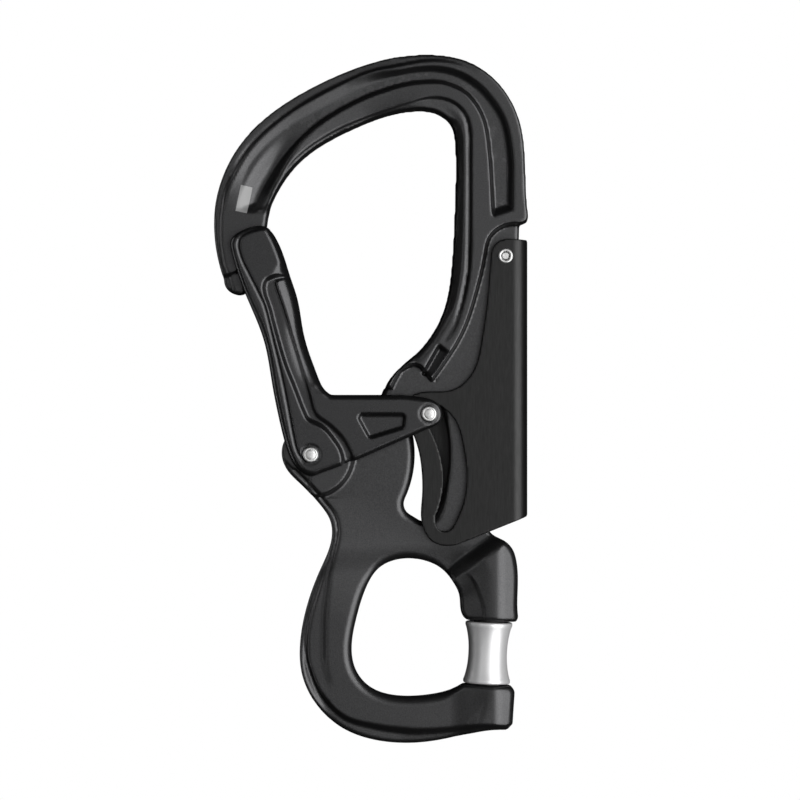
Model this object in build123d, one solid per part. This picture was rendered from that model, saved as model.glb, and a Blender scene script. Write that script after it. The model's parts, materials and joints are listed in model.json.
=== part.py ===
from build123d import *
import math
import os

# A lanyard connector: a forged C-shaped frame with a hook above and a captive eye below,
# a bell-crank gate across the hook's throat and a sprung palm lever on the spine.
# The object stands upright in the XZ plane, its thickness runs along Y and its front faces -Y.
# The origin is the centre of the hook's inner corner, where the load hangs.

# Half thicknesses, from the middle plane
web_half = 2.5
beam_half = 6.0
recess_half = 3.7
boss_half = 4.3
boss_radius = 10.0
nose_half = 4.1
ring_half = 5.4
lug_half = 6.0
lever_inner = 2.9
lever_outer = 4.3
gate_inner = 4.65
gate_panel = 6.2
gate_outer = 6.9

# The three pin axes, and the gate's follower
gate_axis = (-29.7, -79.3)
lever_axis = (18.75, -29.9)
follower_radius = 31.1
follower_angle = math.radians(19)
follower_axis = (
    gate_axis[0] + follower_radius * math.cos(follower_angle),
    gate_axis[1] + follower_radius * math.sin(follower_angle),
)

# Pins, bushes and springs
gate_pin_radius = 1.5
gate_bush_radius = 2.4
follower_pin_radius = 1.0
roller_radius = 2.3
lever_pin_radius = 1.5
lever_core_radius = 0.8
lever_bush_radius = 2.1
head_radius = 1.9
head_height = 0.9
running_gap = 0.03
spring_pocket_half = 2.0
spring_pocket_radius = 4.9
gate_spring_radius = 3.3
gate_spring_wire = 0.7
gate_spring_pitch = 0.85
gate_spring_turns = 3
gate_leg_up = 8.0
gate_leg_down = 2.6
lever_spring_at = (12.2, -56)
lever_spring_bore = 1.7
lever_spring_radius = 1.2
lever_spring_wire = 0.4
lever_spring_turns = 9
gate_washer_radius = 3.2
lever_washer_radius = 2.6

# Frame openings
window_inner = 25.9
window_outer = 34.5
window_top = 25.0
window_bottom = -31.4

# Captive bar and spool of the eye, leaning by spool_tilt about Y
spool_tilt = 2.4
spool_middle = (14.42, -128.815)
spool_length = 15.3
eye_gap = 16.05
spool_end_radius = 5.87
spool_waist_radius = 4.82
spool_bore_radius = 3.0
bar_radius = 2.0
bar_above = 18.5
bar_below = 18.2

# Palm lever section
lever_back = 24.3
lever_back_round = 3.7
lever_inner_round = 1.2
lever_sheet = 1.4


def pt(x, z):
    return Vector(x, 0, z)


def region(*runs):
    """A face in the XZ plane. Each run starts where the one before it ends, and the last one
    closes on the first. A run of two points is a straight line, a longer one a smooth curve."""
    edges = []
    start = runs[-1][-1]
    for run in runs:
        points = [pt(*p) for p in (start, *run)]
        if len(points) == 2:
            edges.append(Edge.make_line(*points))
        else:
            edges.append(Edge.make_spline(points))
        start = run[-1]
    return Face(Wire(edges))


def polygon(*points):
    return Face(Wire.make_polygon([pt(*p) for p in points]))


def slab(face, half):
    return extrude(face, amount=half, dir=(0, 1, 0), both=True)


def pair(face, inner, outer):
    """Two plates from one face, mirrored about the middle plane."""
    plates = [
        extrude(Pos(0, side * inner, 0) * face, amount=outer - inner, dir=(0, side, 0))
        for side in (-1, 1)
    ]
    return plates[0] + plates[1]


def rod(centre, radius, half):
    """A round bar along Y through a point of the XZ plane."""
    return Pos(centre[0], 0, centre[1]) * Rot(90, 0, 0) * Cylinder(radius, 2 * half)


def tube(centre, outer, inner, half):
    return rod(centre, outer, half) - rod(centre, inner, half + 1)


def on_arc(centre, radius, degrees):
    angle = math.radians(degrees)
    return centre[0] + radius * math.cos(angle), centre[1] + radius * math.sin(angle)


def on_spool(solid):
    """Places a solid made along Z on the captive bar's leaning axis."""
    return Pos(spool_middle[0], 0, spool_middle[1]) * Rot(0, spool_tilt, 0) * solid


def sector(centre, inner, outer, top, bottom):
    """A curved window about a centre, between two radii and two angles in degrees."""
    middle = (top + bottom) / 2
    edges = [
        Edge.make_three_point_arc(*[pt(*on_arc(centre, outer, a)) for a in (top, middle, bottom)]),
        Edge.make_line(pt(*on_arc(centre, outer, bottom)), pt(*on_arc(centre, inner, bottom))),
        Edge.make_three_point_arc(*[pt(*on_arc(centre, inner, a)) for a in (bottom, middle, top)]),
        Edge.make_line(pt(*on_arc(centre, inner, top)), pt(*on_arc(centre, outer, top))),
    ]
    return Face(Wire(edges))


def bar_stock():
    """The captive bar before its ends are chamfered, which is also the hole that it fills."""
    return on_spool(Pos(0, 0, (bar_above - bar_below) / 2) * Cylinder(bar_radius, bar_above + bar_below))


# ---- outlines ----

hook_outer = [
    (-53.75, -25), (-53.6, -17.5), (-50, -6), (-43, 3), (-31, 11.4), (-16, 17.9), (0, 20.4),
    (10, 18.4), (18, 12.2), (22.4, 3.8), (23.8, -7), (24.6, -20),
]
hook_inner = [
    (-11.6, -63), (-9.25, -59.25), (-5, -55.4), (0, -49.75), (3.3, -43), (5.1, -33), (6, -16),
    (6, -2), (4.9, 2.8), (2.4, 5.3), (-2.5, 6.4), (-7.5, 5.9), (-16.25, 3.1), (-25, -1),
    (-32.5, -6.4), (-37.5, -13), (-40, -18.25), (-40.8, -22.25),
]
spine_ridge = [
    (17.5, -23), (15, -25.25), (13.75, -29.75), (11.5, -39.5), (8, -49.5), (4.75, -55), (0.6, -61),
]


def frame_outline():
    """The whole silhouette of the forging: hook, spine, pivot lobe, eye and both lugs."""
    return region(
        [(-48.4, -39.5), (-50.6, -38.2), (-51.4, -35.8)],
        hook_outer,
        [(24.2, -21.5)],
        [(22.25, -22.3)],
        [(22, -32)],
        [(14.6, -98.1)],
        [(16.6, -100), (18.6, -101), (20.5, -102.8), (21.4, -105.2), (21.9, -112), (22, -120)],
        [(21.5, -121.07)],
        [(9.2, -120.55)],
        [(8, -119.3), (7.4, -115), (5.8, -111.2), (2.5, -107.6), (-2.5, -105.6), (-7, -105.4),
         (-12.5, -107.5), (-16.25, -113.25), (-18.6, -121), (-19.6, -128.5), (-18.6, -133.2),
         (-15, -137.5), (-8.75, -139.6), (-1, -139.5), (5, -138.2), (8.3, -136.6)],
        [(20.1, -137.1)],
        [(21.15, -138.4)],
        [(20.6, -146.6)],
        [(19.2, -148.05)],
        [(15, -148.05), (10, -148.9), (4, -150.3), (-5, -151.4), (-14, -150.6), (-22, -147.6),
         (-28.5, -141.5), (-32, -134), (-32.5, -127), (-31, -118), (-27.4, -108), (-24.7, -101),
         (-24.8, -96.2), (-27.5, -91.8), (-32.5, -86.5), (-35.6, -83.2), (-37, -79),
         (-35.5, -74.6), (-31.6, -72.2), (-27.2, -72.3), (-23.8, -74.5), (-19.5, -74.2),
         (-15, -70.5), (-12.4, -65), (-11.6, -63)],
        hook_inner[1:],
        [(-43.4, -33)],
        [(-46.25, -39.3)],
    )


def hook_beam_area():
    """Where the forging has its full thickness: the hook and spine above the drop ridge, and
    the hook's left arm down to the arc that the gate's top sweeps."""
    return region(
        [(30, -22.3)],
        [(22.25, -22.3)],
        spine_ridge,
        [(-1.2, -59.2), (-3.2, -57.2), (-5.6, -57.6), (-8, -59.9), (-9.6, -62.9)],
        [(-14, -62.9)],
        [(-20, -21)],
        [(-40.7, -21.5)],
        [(-44, -22.2), (-48, -23.3), (-53.75, -25)],
        [(-60, -26.6)],
        [(-60, 30)],
        [(30, 30)],
    )


def recess_outline():
    """The lightening recess along both faces of the hook, following its curve."""
    return region(
        [(20.9, -18), (21, -5.75), (19.3, 3.75), (14.9, 11), (7.5, 15.6), (0, 16.6), (-8, 15.4),
         (-20, 11.4), (-31, 5.2), (-39, -2), (-44.5, -10), (-47, -17.2)],
        [(-41, -18.2)],
        [(-39.6, -13.5), (-36.6, -5.2), (-32.5, -0.6), (-22.5, 6.6), (-12.5, 11.1), (-3.75, 13.5),
         (2.5, 13.4), (7.5, 11.8), (12, 7.4), (14.7, -0.75), (15.3, -5.75), (16, -19)],
    )


def gate_outline():
    end = 3.4
    tip = follower_axis
    return region(
        [(-49.1, -30.2), (-46.2, -38.8), (-43.75, -44.5), (-41.2, -51.5), (-39.25, -62),
         (-37.5, -70.75), (-35.6, -78), (-33.6, -82.2), (-31, -84.4), (-27.3, -84)],
        [(-18, -80.65)],
        [(tip[0] + 1.6, tip[1] - 3)],
        [(tip[0] + end, tip[1] - 0.2), (tip[0] + 2.4, tip[1] + 2.4), (tip[0] - 0.9, tip[1] + 4),
         (-6.3, -64.45)],
        [(-24.6, -64.45)],
        [(-26.1, -63.5), (-28.3, -59.3), (-30.6, -52.9), (-31.8, -48.2), (-33.2, -40.3),
         (-35, -34.8), (-38.6, -25.2), (-41, -22.6), (-43.3, -22.5), (-46.8, -23.6),
         (-49.2, -25.4), (-49.7, -27.6)],
    )


def gate_raised_area():
    """The gate's upper level: its top pad, its outer strip and the disc round the pivot."""
    return region(
        [(-33, -20)],
        [(-56, -20)],
        [(-56, -90)],
        [(-21.6, -90)],
        [(-21.7, -82)],
        [(-22.7, -78.9), (-24.3, -76.3), (-26.3, -74.2), (-30.6, -71.2)],
        [(-32, -67), (-34.6, -57), (-38, -48), (-41.4, -37.6), (-41.9, -36.4), (-41, -35.4)],
        [(-33, -34.1)],
    )


def gate_bridge_area():
    """Where the gate is solid between its cheeks, clear of the nose, the boss and the throat."""
    return polygon(
        (-39.4, -21.5), (-39.6, -24), (-41.4, -29), (-43, -33.4), (-45.2, -39.8), (-52, -40.6),
        (-45, -71), (-30, -71), (-26.3, -68.6), (-25.2, -64.2), (-20, -60), (-30, -20),
    )


def arm_pocket_outline():
    corners = polygon((-19, -68.9), (-5.8, -68.9), (-6.2, -72.9), (-15.3, -75.7))
    return corners.fillet_2d(1.3, corners.vertices())


def lever_outline():
    return region(
        [(24.6, -94.6)],
        [(15.1, -98.4)],
        [(7.4, -101.5)],
        [(4.5, -102.1), (1, -101.25), (-1.4, -98.4), (-2.2, -95.6), (-2, -90.25), (-2, -84.6),
         (-2.75, -78.9), (-4.4, -74)],
        [(-4.3, -64.5)],
        [(-1.8, -63.75), (0.9, -63.6), (4.75, -63.4), (7.4, -62.25), (9.35, -60.5), (11.4, -57),
         (12.75, -51.25), (13.95, -43.25), (14.9, -33), (15.3, -28.6)],
        [(16.8, -26.4), (19.4, -25.6)],
        [(24.6, -25.9)],
    )


def lever_slot_outline():
    """The cam slot in the front cheek: the follower runs down it as the lever closes on the spine."""
    return region(
        [(-1.9, -67.9), (-0.6, -66.9), (1.2, -66.8), (3.75, -68.1)],
        [(6.2, -70.8), (8.2, -77), (9.1, -84.5), (8.4, -90.75), (6.5, -95.75), (4.4, -98.3),
         (2.6, -98.2), (1.3, -95.9), (1.8, -93.6)],
        [(2.9, -89.5), (3.3, -85), (2.75, -80.6), (0.9, -74.9), (-1.75, -70.3)],
    )


# ---- pieces ----


def hook_frame():
    silhouette = frame_outline()
    body = slab(silhouette, web_half)
    nose = polygon((-56, -26), (-38, -20), (-40, -24), (-42.4, -34.6), (-56, -35.2))
    ring = polygon(
        (-34, -104), (-12, -108.6), (-8, -122), (6, -134), (26, -134), (26, -156), (-36, -156),
    )
    lug = polygon((4.6, -107.5), (9, -103.4), (14.6, -101), (26, -98), (26, -123), (4.6, -123))
    levels = (
        slab(hook_beam_area(), beam_half),
        slab(nose, nose_half),
        slab(ring, ring_half),
        slab(lug, lug_half),
        rod(gate_axis, boss_radius, boss_half),
    )
    solid = slab(silhouette, lug_half)
    for level in levels:
        body += solid & level
    body -= pair(recess_outline(), recess_half, beam_half + 1)
    window = sector(gate_axis, window_inner, window_outer, window_top, window_bottom)
    body -= slab(window.fillet_2d(3.0, window.vertices()), beam_half)
    body -= rod(gate_axis, gate_bush_radius, beam_half)
    body -= rod(lever_axis, lever_bush_radius, beam_half)
    body -= rod(gate_axis, spring_pocket_radius, spring_pocket_half)
    leg_slot = polygon((-34.4, -79.3), (-34.4, -70), (-29.7, -70), (-29.7, -79.3))
    body -= slab(leg_slot, spring_pocket_half)
    body -= lever_spring_seat()
    return body - bar_stock()


def gate():
    outline = gate_outline()
    body = pair(outline, gate_inner, gate_panel)
    body += pair(outline, gate_panel, gate_outer) & slab(gate_raised_area(), gate_outer)
    body += slab(outline, gate_inner) & slab(gate_bridge_area(), gate_inner)
    body -= pair(arm_pocket_outline(), gate_panel - 0.9, gate_outer)
    body -= rod(gate_axis, gate_pin_radius, gate_outer + 1)
    body -= Pos(0, -gate_outer, 0) * rod(follower_axis, follower_pin_radius, gate_outer - 1)
    return body


def lever():
    """Folded sheet: two cheeks and a rounded back, open towards the throat."""
    far = -12
    outer = RectangleRounded(2 * (lever_back - far), 2 * lever_outer, lever_back_round)
    inner_back = lever_back - lever_sheet
    inner = RectangleRounded(2 * (inner_back - far), 2 * lever_inner, lever_inner_round)
    channel = Pos(far, 0, -66) * (extrude(outer, 90, both=True) - extrude(inner, 90, both=True))
    body = channel & slab(lever_outline(), lever_outer)
    body -= Pos(0, -lever_outer, 0) * slab(lever_slot_outline(), lever_outer - 1)
    body -= rod(lever_axis, lever_pin_radius, lever_outer + 1)
    return body


def pin_head(centre, side, face):
    head = Cylinder(head_radius, head_height)
    head = fillet(head.edges().sort_by(Axis.Z)[-1], 0.7)
    turned = Rot(-90 * side, 0, 0) * Pos(0, 0, face + head_height / 2) * head
    return Pos(centre[0], 0, centre[1]) * turned


def gate_pivot_pin():
    """A plain rivet: a shank through both cheeks and a low domed head on each."""
    pin = rod(gate_axis, gate_pin_radius, gate_outer)
    for side in (-1, 1):
        pin += pin_head(gate_axis, side, gate_outer)
    return pin


def follower_pin():
    """A headed stud fixed in the gate's front cheek: its end carries the roller in the window."""
    end = web_half + 0.2
    length = gate_panel + end
    shank = Rot(90, 0, 0) * Cylinder(follower_pin_radius, length)
    pin = Pos(follower_axis[0], end - length / 2, follower_axis[1]) * shank
    return pin + pin_head(follower_axis, -1, gate_panel)


def gate_bush(side):
    """A flanged plain bearing in one wall of the boss, flush with the boss's face."""
    wall = boss_half - spring_pocket_half
    ring = Cylinder(gate_bush_radius, wall) - Cylinder(gate_pin_radius + running_gap, wall + 1)
    place = Pos(gate_axis[0], side * (spring_pocket_half + wall / 2), gate_axis[1])
    return place * Rot(90, 0, 0) * ring


def coil(radius, wire, pitch, turns):
    """A helical spring along Z, centred on the origin."""
    height = pitch * turns
    path = Helix(pitch=pitch, height=height, radius=radius)
    section = Plane(origin=path @ 0, z_dir=path % 0) * Circle(wire / 2)
    return Pos(0, 0, -height / 2) * sweep(section, path=path, is_frenet=True)


def gate_spring():
    """A torsion spring round the gate pin: one leg in the boss, one under the gate's bridge."""
    turned = Rot(90, 0, 0) * Rot(0, 0, 180)
    wound = coil(gate_spring_radius, gate_spring_wire, gate_spring_pitch, gate_spring_turns)
    body = Pos(gate_axis[0], 0, gate_axis[1]) * turned * wound
    half = gate_spring_pitch * gate_spring_turns / 2
    for y, length, end in ((half, gate_leg_up, Align.MIN), (-half, gate_leg_down, Align.MAX)):
        leg = Cylinder(gate_spring_wire / 2, length, align=(Align.CENTER, Align.CENTER, end))
        body += Pos(gate_axis[0] - gate_spring_radius, y, gate_axis[1]) * leg
    return body


def washer(centre, side, inner_face, thickness, radius, bore):
    ring = Cylinder(radius, thickness) - Cylinder(bore, thickness + 1)
    return Pos(centre[0], side * (inner_face + thickness / 2), centre[1]) * Rot(90, 0, 0) * ring


def follower_roller():
    return tube(follower_axis, roller_radius, follower_pin_radius + running_gap, web_half + 0.2)


def lever_rivet_tube():
    """A tubular rivet with rolled heads, closed on the lever's cheeks."""
    body = rod(lever_axis, lever_pin_radius, lever_outer)
    head = Cylinder(head_radius, 0.5)
    head = fillet(head.edges().sort_by(Axis.Z)[-1], 0.3)
    for side in (-1, 1):
        turned = Rot(-90 * side, 0, 0) * Pos(0, 0, lever_outer + 0.25) * head
        body += Pos(lever_axis[0], 0, lever_axis[1]) * turned
    return body - rod(lever_axis, lever_core_radius, lever_outer + 2)


def lever_rivet_core():
    return rod(lever_axis, lever_core_radius, lever_outer + 0.35)


def lever_bush():
    return tube(lever_axis, lever_bush_radius, lever_pin_radius + running_gap, web_half)


def lever_spring_seat():
    """A blind hole in the spine's back edge, facing the lever's back."""
    hole = Cylinder(lever_spring_bore, 20, align=(Align.CENTER, Align.CENTER, Align.MIN))
    return Pos(lever_spring_at[0], 0, lever_spring_at[1]) * Rot(0, 90, 0) * hole


def lever_spring():
    """The compression spring that pushes the palm lever out."""
    ends_clear = 0.05
    room = lever_back - lever_sheet - lever_spring_at[0]
    length = room - lever_spring_wire - 2 * ends_clear
    body = coil(lever_spring_radius, lever_spring_wire, length / lever_spring_turns, lever_spring_turns)
    return Pos(lever_spring_at[0] + room / 2, 0, lever_spring_at[1]) * Rot(0, 90, 0) * body


def spool():
    """A waisted roller for the lanyard's eye, with a small straight lip at each end."""
    half = spool_length / 2
    lip = 0.9
    right = [(spool_end_radius - 0.35, -half + lip + 0.6), (spool_waist_radius, 0),
             (spool_end_radius - 0.35, half - lip - 0.6), (spool_end_radius, half - lip)]
    side = Edge.make_spline([Vector(spool_end_radius, 0, -half + lip)] + [pt(*p) for p in right])
    corners = [(spool_end_radius, half - lip), (spool_end_radius - 0.15, half), (spool_bore_radius, half),
               (spool_bore_radius, -half), (spool_end_radius - 0.15, -half), (spool_end_radius, -half + lip)]
    lines = [Edge.make_line(pt(*a), pt(*b)) for a, b in zip(corners, corners[1:])]
    body = revolve(Face(Wire([side] + lines)), Axis.Z, 360)
    for end in (-1, 1):
        body -= Pos(0, 0, end * half) * Cylinder(4.2, 1.0)
    return on_spool(body)


def spool_sleeve():
    """The plastic plain bearing pressed into the spool."""
    length = spool_length - 1.0
    return on_spool(Cylinder(spool_bore_radius, length) - Cylinder(bar_radius + 0.06, length + 1))


def spool_washer(end):
    """A thrust washer sunk in the spool's end, resting on the lug."""
    thickness = 0.5
    middle = eye_gap / 2 - thickness / 2 - 0.02
    ring = Cylinder(3.8, thickness) - Cylinder(bar_radius + 0.02, thickness + 1)
    return on_spool(Pos(0, 0, end * middle) * ring)


def eye_bar():
    """The hardened bar across the eye, pressed up through the lower lug into the upper one."""
    bar = bar_stock()
    return chamfer(bar.edges().filter_by(GeomType.CIRCLE), 0.3)


pieces = {
    "hook_frame": hook_frame(),
    "gate": gate(),
    "gate_pivot_pin": gate_pivot_pin(),
    "gate_bush_front": gate_bush(-1),
    "gate_bush_rear": gate_bush(1),
    "gate_spring": gate_spring(),
    "gate_washer_front": washer(gate_axis, -1, boss_half, 0.25, gate_washer_radius, gate_pin_radius + 0.05),
    "gate_washer_rear": washer(gate_axis, 1, boss_half, 0.25, gate_washer_radius, gate_pin_radius + 0.05),
    "follower_pin": follower_pin(),
    "follower_roller": follower_roller(),
    "palm_lever": lever(),
    "lever_rivet_tube": lever_rivet_tube(),
    "lever_rivet_core": lever_rivet_core(),
    "lever_bush": lever_bush(),
    "lever_washer_front": washer(lever_axis, -1, web_half, 0.3, lever_washer_radius, lever_pin_radius + 0.05),
    "lever_washer_rear": washer(lever_axis, 1, web_half, 0.3, lever_washer_radius, lever_pin_radius + 0.05),
    "lever_spring": lever_spring(),
    "eye_bar": eye_bar(),
    "spool": spool(),
    "spool_sleeve": spool_sleeve(),
    "spool_washer_upper": spool_washer(1),
    "spool_washer_lower": spool_washer(-1),
}

os.makedirs("parts", exist_ok=True)
for name, piece in pieces.items():
    export_step(piece, f"parts/{name}.step")
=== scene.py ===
import json
import math

import bpy
import numpy as np
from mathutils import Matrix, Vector


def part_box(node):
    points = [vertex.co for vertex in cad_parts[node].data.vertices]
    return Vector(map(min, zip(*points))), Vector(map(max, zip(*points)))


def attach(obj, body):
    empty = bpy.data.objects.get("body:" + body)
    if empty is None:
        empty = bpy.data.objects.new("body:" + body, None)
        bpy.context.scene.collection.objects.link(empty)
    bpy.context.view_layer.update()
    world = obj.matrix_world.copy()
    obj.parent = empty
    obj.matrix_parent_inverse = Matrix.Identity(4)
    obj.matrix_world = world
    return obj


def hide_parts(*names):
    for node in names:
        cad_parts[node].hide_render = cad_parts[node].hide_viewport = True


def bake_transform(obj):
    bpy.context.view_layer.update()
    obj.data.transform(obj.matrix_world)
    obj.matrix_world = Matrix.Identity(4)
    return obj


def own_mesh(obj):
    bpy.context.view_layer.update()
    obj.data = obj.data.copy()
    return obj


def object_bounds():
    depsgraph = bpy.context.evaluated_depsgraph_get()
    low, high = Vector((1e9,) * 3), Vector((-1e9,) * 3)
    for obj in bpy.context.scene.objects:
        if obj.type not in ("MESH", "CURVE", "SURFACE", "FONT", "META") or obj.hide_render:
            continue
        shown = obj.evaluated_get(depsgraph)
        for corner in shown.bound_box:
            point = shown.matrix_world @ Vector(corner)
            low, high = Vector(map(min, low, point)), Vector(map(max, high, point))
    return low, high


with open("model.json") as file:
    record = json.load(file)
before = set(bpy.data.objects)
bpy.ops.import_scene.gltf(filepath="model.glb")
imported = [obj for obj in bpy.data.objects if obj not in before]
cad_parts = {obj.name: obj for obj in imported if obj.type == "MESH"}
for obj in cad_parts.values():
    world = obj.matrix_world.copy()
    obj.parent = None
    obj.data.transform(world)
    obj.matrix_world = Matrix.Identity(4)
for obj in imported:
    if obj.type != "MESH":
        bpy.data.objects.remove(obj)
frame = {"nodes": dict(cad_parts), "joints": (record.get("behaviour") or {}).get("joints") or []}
cadLow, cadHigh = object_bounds()
mm = 0.001
print("frame loaded:", len(frame["nodes"]), "nodes")


# Plan tools. A plan is a fine square grid over the XZ plane, in millimetres.

def makePlan(node, step=0.25, margin=1.5):
    low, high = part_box(node)
    xs = np.arange(low.x / mm - margin, high.x / mm + margin + step, step)
    zs = np.arange(low.z / mm - margin, high.z / mm + margin + step, step)
    x, z = np.meshgrid(xs, zs, indexing="ij")
    return {"xs": xs, "zs": zs, "step": step, "x": x, "z": z}


def cutAt(node, depth):
    # the segments where the plane y = depth cuts a node, as (x, z) pairs
    mesh = frame["nodes"][node].data
    mesh.calc_loop_triangles()
    points = np.empty(len(mesh.vertices) * 3)
    mesh.vertices.foreach_get("co", points)
    index = np.empty(len(mesh.loop_triangles) * 3, int)
    mesh.loop_triangles.foreach_get("vertices", index)
    corners = (points.reshape(-1, 3) / mm)[index].reshape(-1, 3, 3)
    side = corners[:, :, 1] - depth
    nextCorners = np.roll(corners, -1, axis=1)
    nextSide = np.roll(side, -1, axis=1)
    crosses = (side < 0) != (nextSide < 0)
    kept = crosses.sum(axis=1) == 2
    share = side / np.where(crosses, side - nextSide, 1)
    hits = corners + share[:, :, None] * (nextCorners - corners)
    return hits[kept][crosses[kept]].reshape(-1, 2, 3)[:, :, [0, 2]]


def smoothRun(points, spacing=0.4):
    # segments of a smooth curve through the points
    p = np.array(points, float)
    p = np.vstack([2 * p[0] - p[1], p, 2 * p[-1] - p[-2]])
    run = []
    for a, b, c, d in zip(p, p[1:], p[2:], p[3:]):
        count = max(2, int(np.hypot(*(c - b)) / spacing))
        bend = 2 * a - 5 * b + 4 * c - d
        twist = 3 * b - a - 3 * c + d
        for t in np.arange(count) / count:
            run.append(0.5 * (2 * b + (c - a) * t + bend * t**2 + twist * t**3))
    run.append(p[-2])
    run = np.array(run)
    return np.stack([run[:-1], run[1:]], axis=1)


def nearest(plan, segments, reach=8.0):
    # distance to the nearest segment, the side of it, and how far along the run
    xs, zs = plan["xs"], plan["zs"]
    best = np.full((len(xs), len(zs)), reach)
    side = np.full(best.shape, -1.0)
    along = np.zeros(best.shape)
    for number, ((ax, az), (bx, bz)) in enumerate(segments):
        i0, i1 = np.searchsorted(xs, (min(ax, bx) - reach, max(ax, bx) + reach))
        k0, k1 = np.searchsorted(zs, (min(az, bz) - reach, max(az, bz) + reach))
        x = xs[i0:i1, None] - ax
        z = zs[None, k0:k1] - az
        dx, dz = bx - ax, bz - az
        t = np.clip((x * dx + z * dz) / max(dx * dx + dz * dz, 1e-12), 0, 1)
        gap = np.hypot(x - t * dx, z - t * dz)
        closer = gap < best[i0:i1, k0:k1]
        best[i0:i1, k0:k1][closer] = gap[closer]
        side[i0:i1, k0:k1][closer] = np.where(dx * z - dz * x > 0, 1.0, -1.0)[closer]
        along[i0:i1, k0:k1][closer] = ((number + t) / len(segments))[closer]
    return best, side, along


def enclosed(plan, segments):
    # which grid points a set of closed loops encloses
    xs, zs = plan["xs"], plan["zs"]
    inside = np.zeros((len(xs), len(zs)), bool)
    for (ax, az), (bx, bz) in segments:
        k0, k1 = np.searchsorted(zs, sorted((az, bz)))
        if k1 > k0:
            crossing = ax + (zs[k0:k1] - az) / (bz - az) * (bx - ax)
            inside[:, k0:k1] ^= xs[:, None] < crossing[None]
    return inside


def signedDistance(plan, segments, reach=8.0):
    gap = nearest(plan, segments, reach)[0]
    return np.where(enclosed(plan, segments), gap, -gap)


def closedLoop(points):
    corners = np.array(points, float)
    return np.stack([corners, np.roll(corners, -1, axis=0)], axis=1)


def besideRun(plan, points, reach=8.0):
    # signed distance from a curve, positive on its left, and the share of its length
    gap, side, along = nearest(plan, smoothRun(points), reach)
    return gap * side, along


def beside(side, reach=8.0):
    # where a curve is near enough for the distance from it to count
    return np.abs(side) < reach - 0.1


def ramp(value, start, end):
    t = np.clip((value - start) / (end - start), 0, 1)
    return t * t * (3 - 2 * t)


def easeIn(value, width):
    # zero, then a curve over the width, then a straight slope of one
    t = np.maximum(value, 0)
    return np.where(t < width, t * t / (2 * width), t - width / 2)


def bead(distance, width):
    return np.exp(-((distance / width) ** 2))


def blurred(field, passes=1):
    for _ in range(passes):
        for axis in (0, 1):
            field = 0.25 * np.roll(field, 1, axis) + 0.5 * field + 0.25 * np.roll(field, -1, axis)
    return field


def sample(plan, field, x, z):
    i = np.clip((x - plan["xs"][0]) / plan["step"], 0, len(plan["xs"]) - 1.001)
    k = np.clip((z - plan["zs"][0]) / plan["step"], 0, len(plan["zs"]) - 1.001)
    i0, k0 = i.astype(int), k.astype(int)
    u, v = i - i0, k - k0
    low = field[i0, k0] * (1 - u) + field[i0 + 1, k0] * u
    high = field[i0, k0 + 1] * (1 - u) + field[i0 + 1, k0 + 1] * u
    return low * (1 - v) + high * v


def innerSteps(plan, node, depth, outline, ignore=None):
    # signed distance to a level's edge, leaving out where that edge is the outline itself
    segments = cutAt(node, depth)
    middle = segments.mean(axis=1)
    kept = np.abs(sample(plan, outline, middle[:, 0], middle[:, 1])) > 0.15
    inside = enclosed(plan, segments)
    if ignore is not None:
        kept &= sample(plan, ignore, middle[:, 0], middle[:, 1]) < -0.4
        inside |= ignore > -0.4
    gap = nearest(plan, segments[kept])[0]
    return np.where(inside, gap, -gap)


# Skin tools. A form is a function of x, y, z that is positive inside the metal.

def roundedMeet(a, b, radius):
    # where two walls meet, rounded off by a radius
    u = np.maximum(radius - a, 0)
    v = np.maximum(radius - b, 0)
    return np.maximum(radius, np.minimum(a, b)) - np.hypot(u, v)


def plateForm(plan, outline, height, rounding):
    # a plate with the given outline and half thickness, drafted by the slope of its faces
    slopeX, slopeZ = np.gradient(height, plan["step"])
    lean = 1 / np.sqrt(1 + slopeX**2 + slopeZ**2)

    def form(x, y, z):
        top = (sample(plan, height, x, z) - np.abs(y)) * sample(plan, lean, x, z)
        return roundedMeet(sample(plan, outline, x, z), top, sample(plan, rounding, x, z))

    return form


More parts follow.
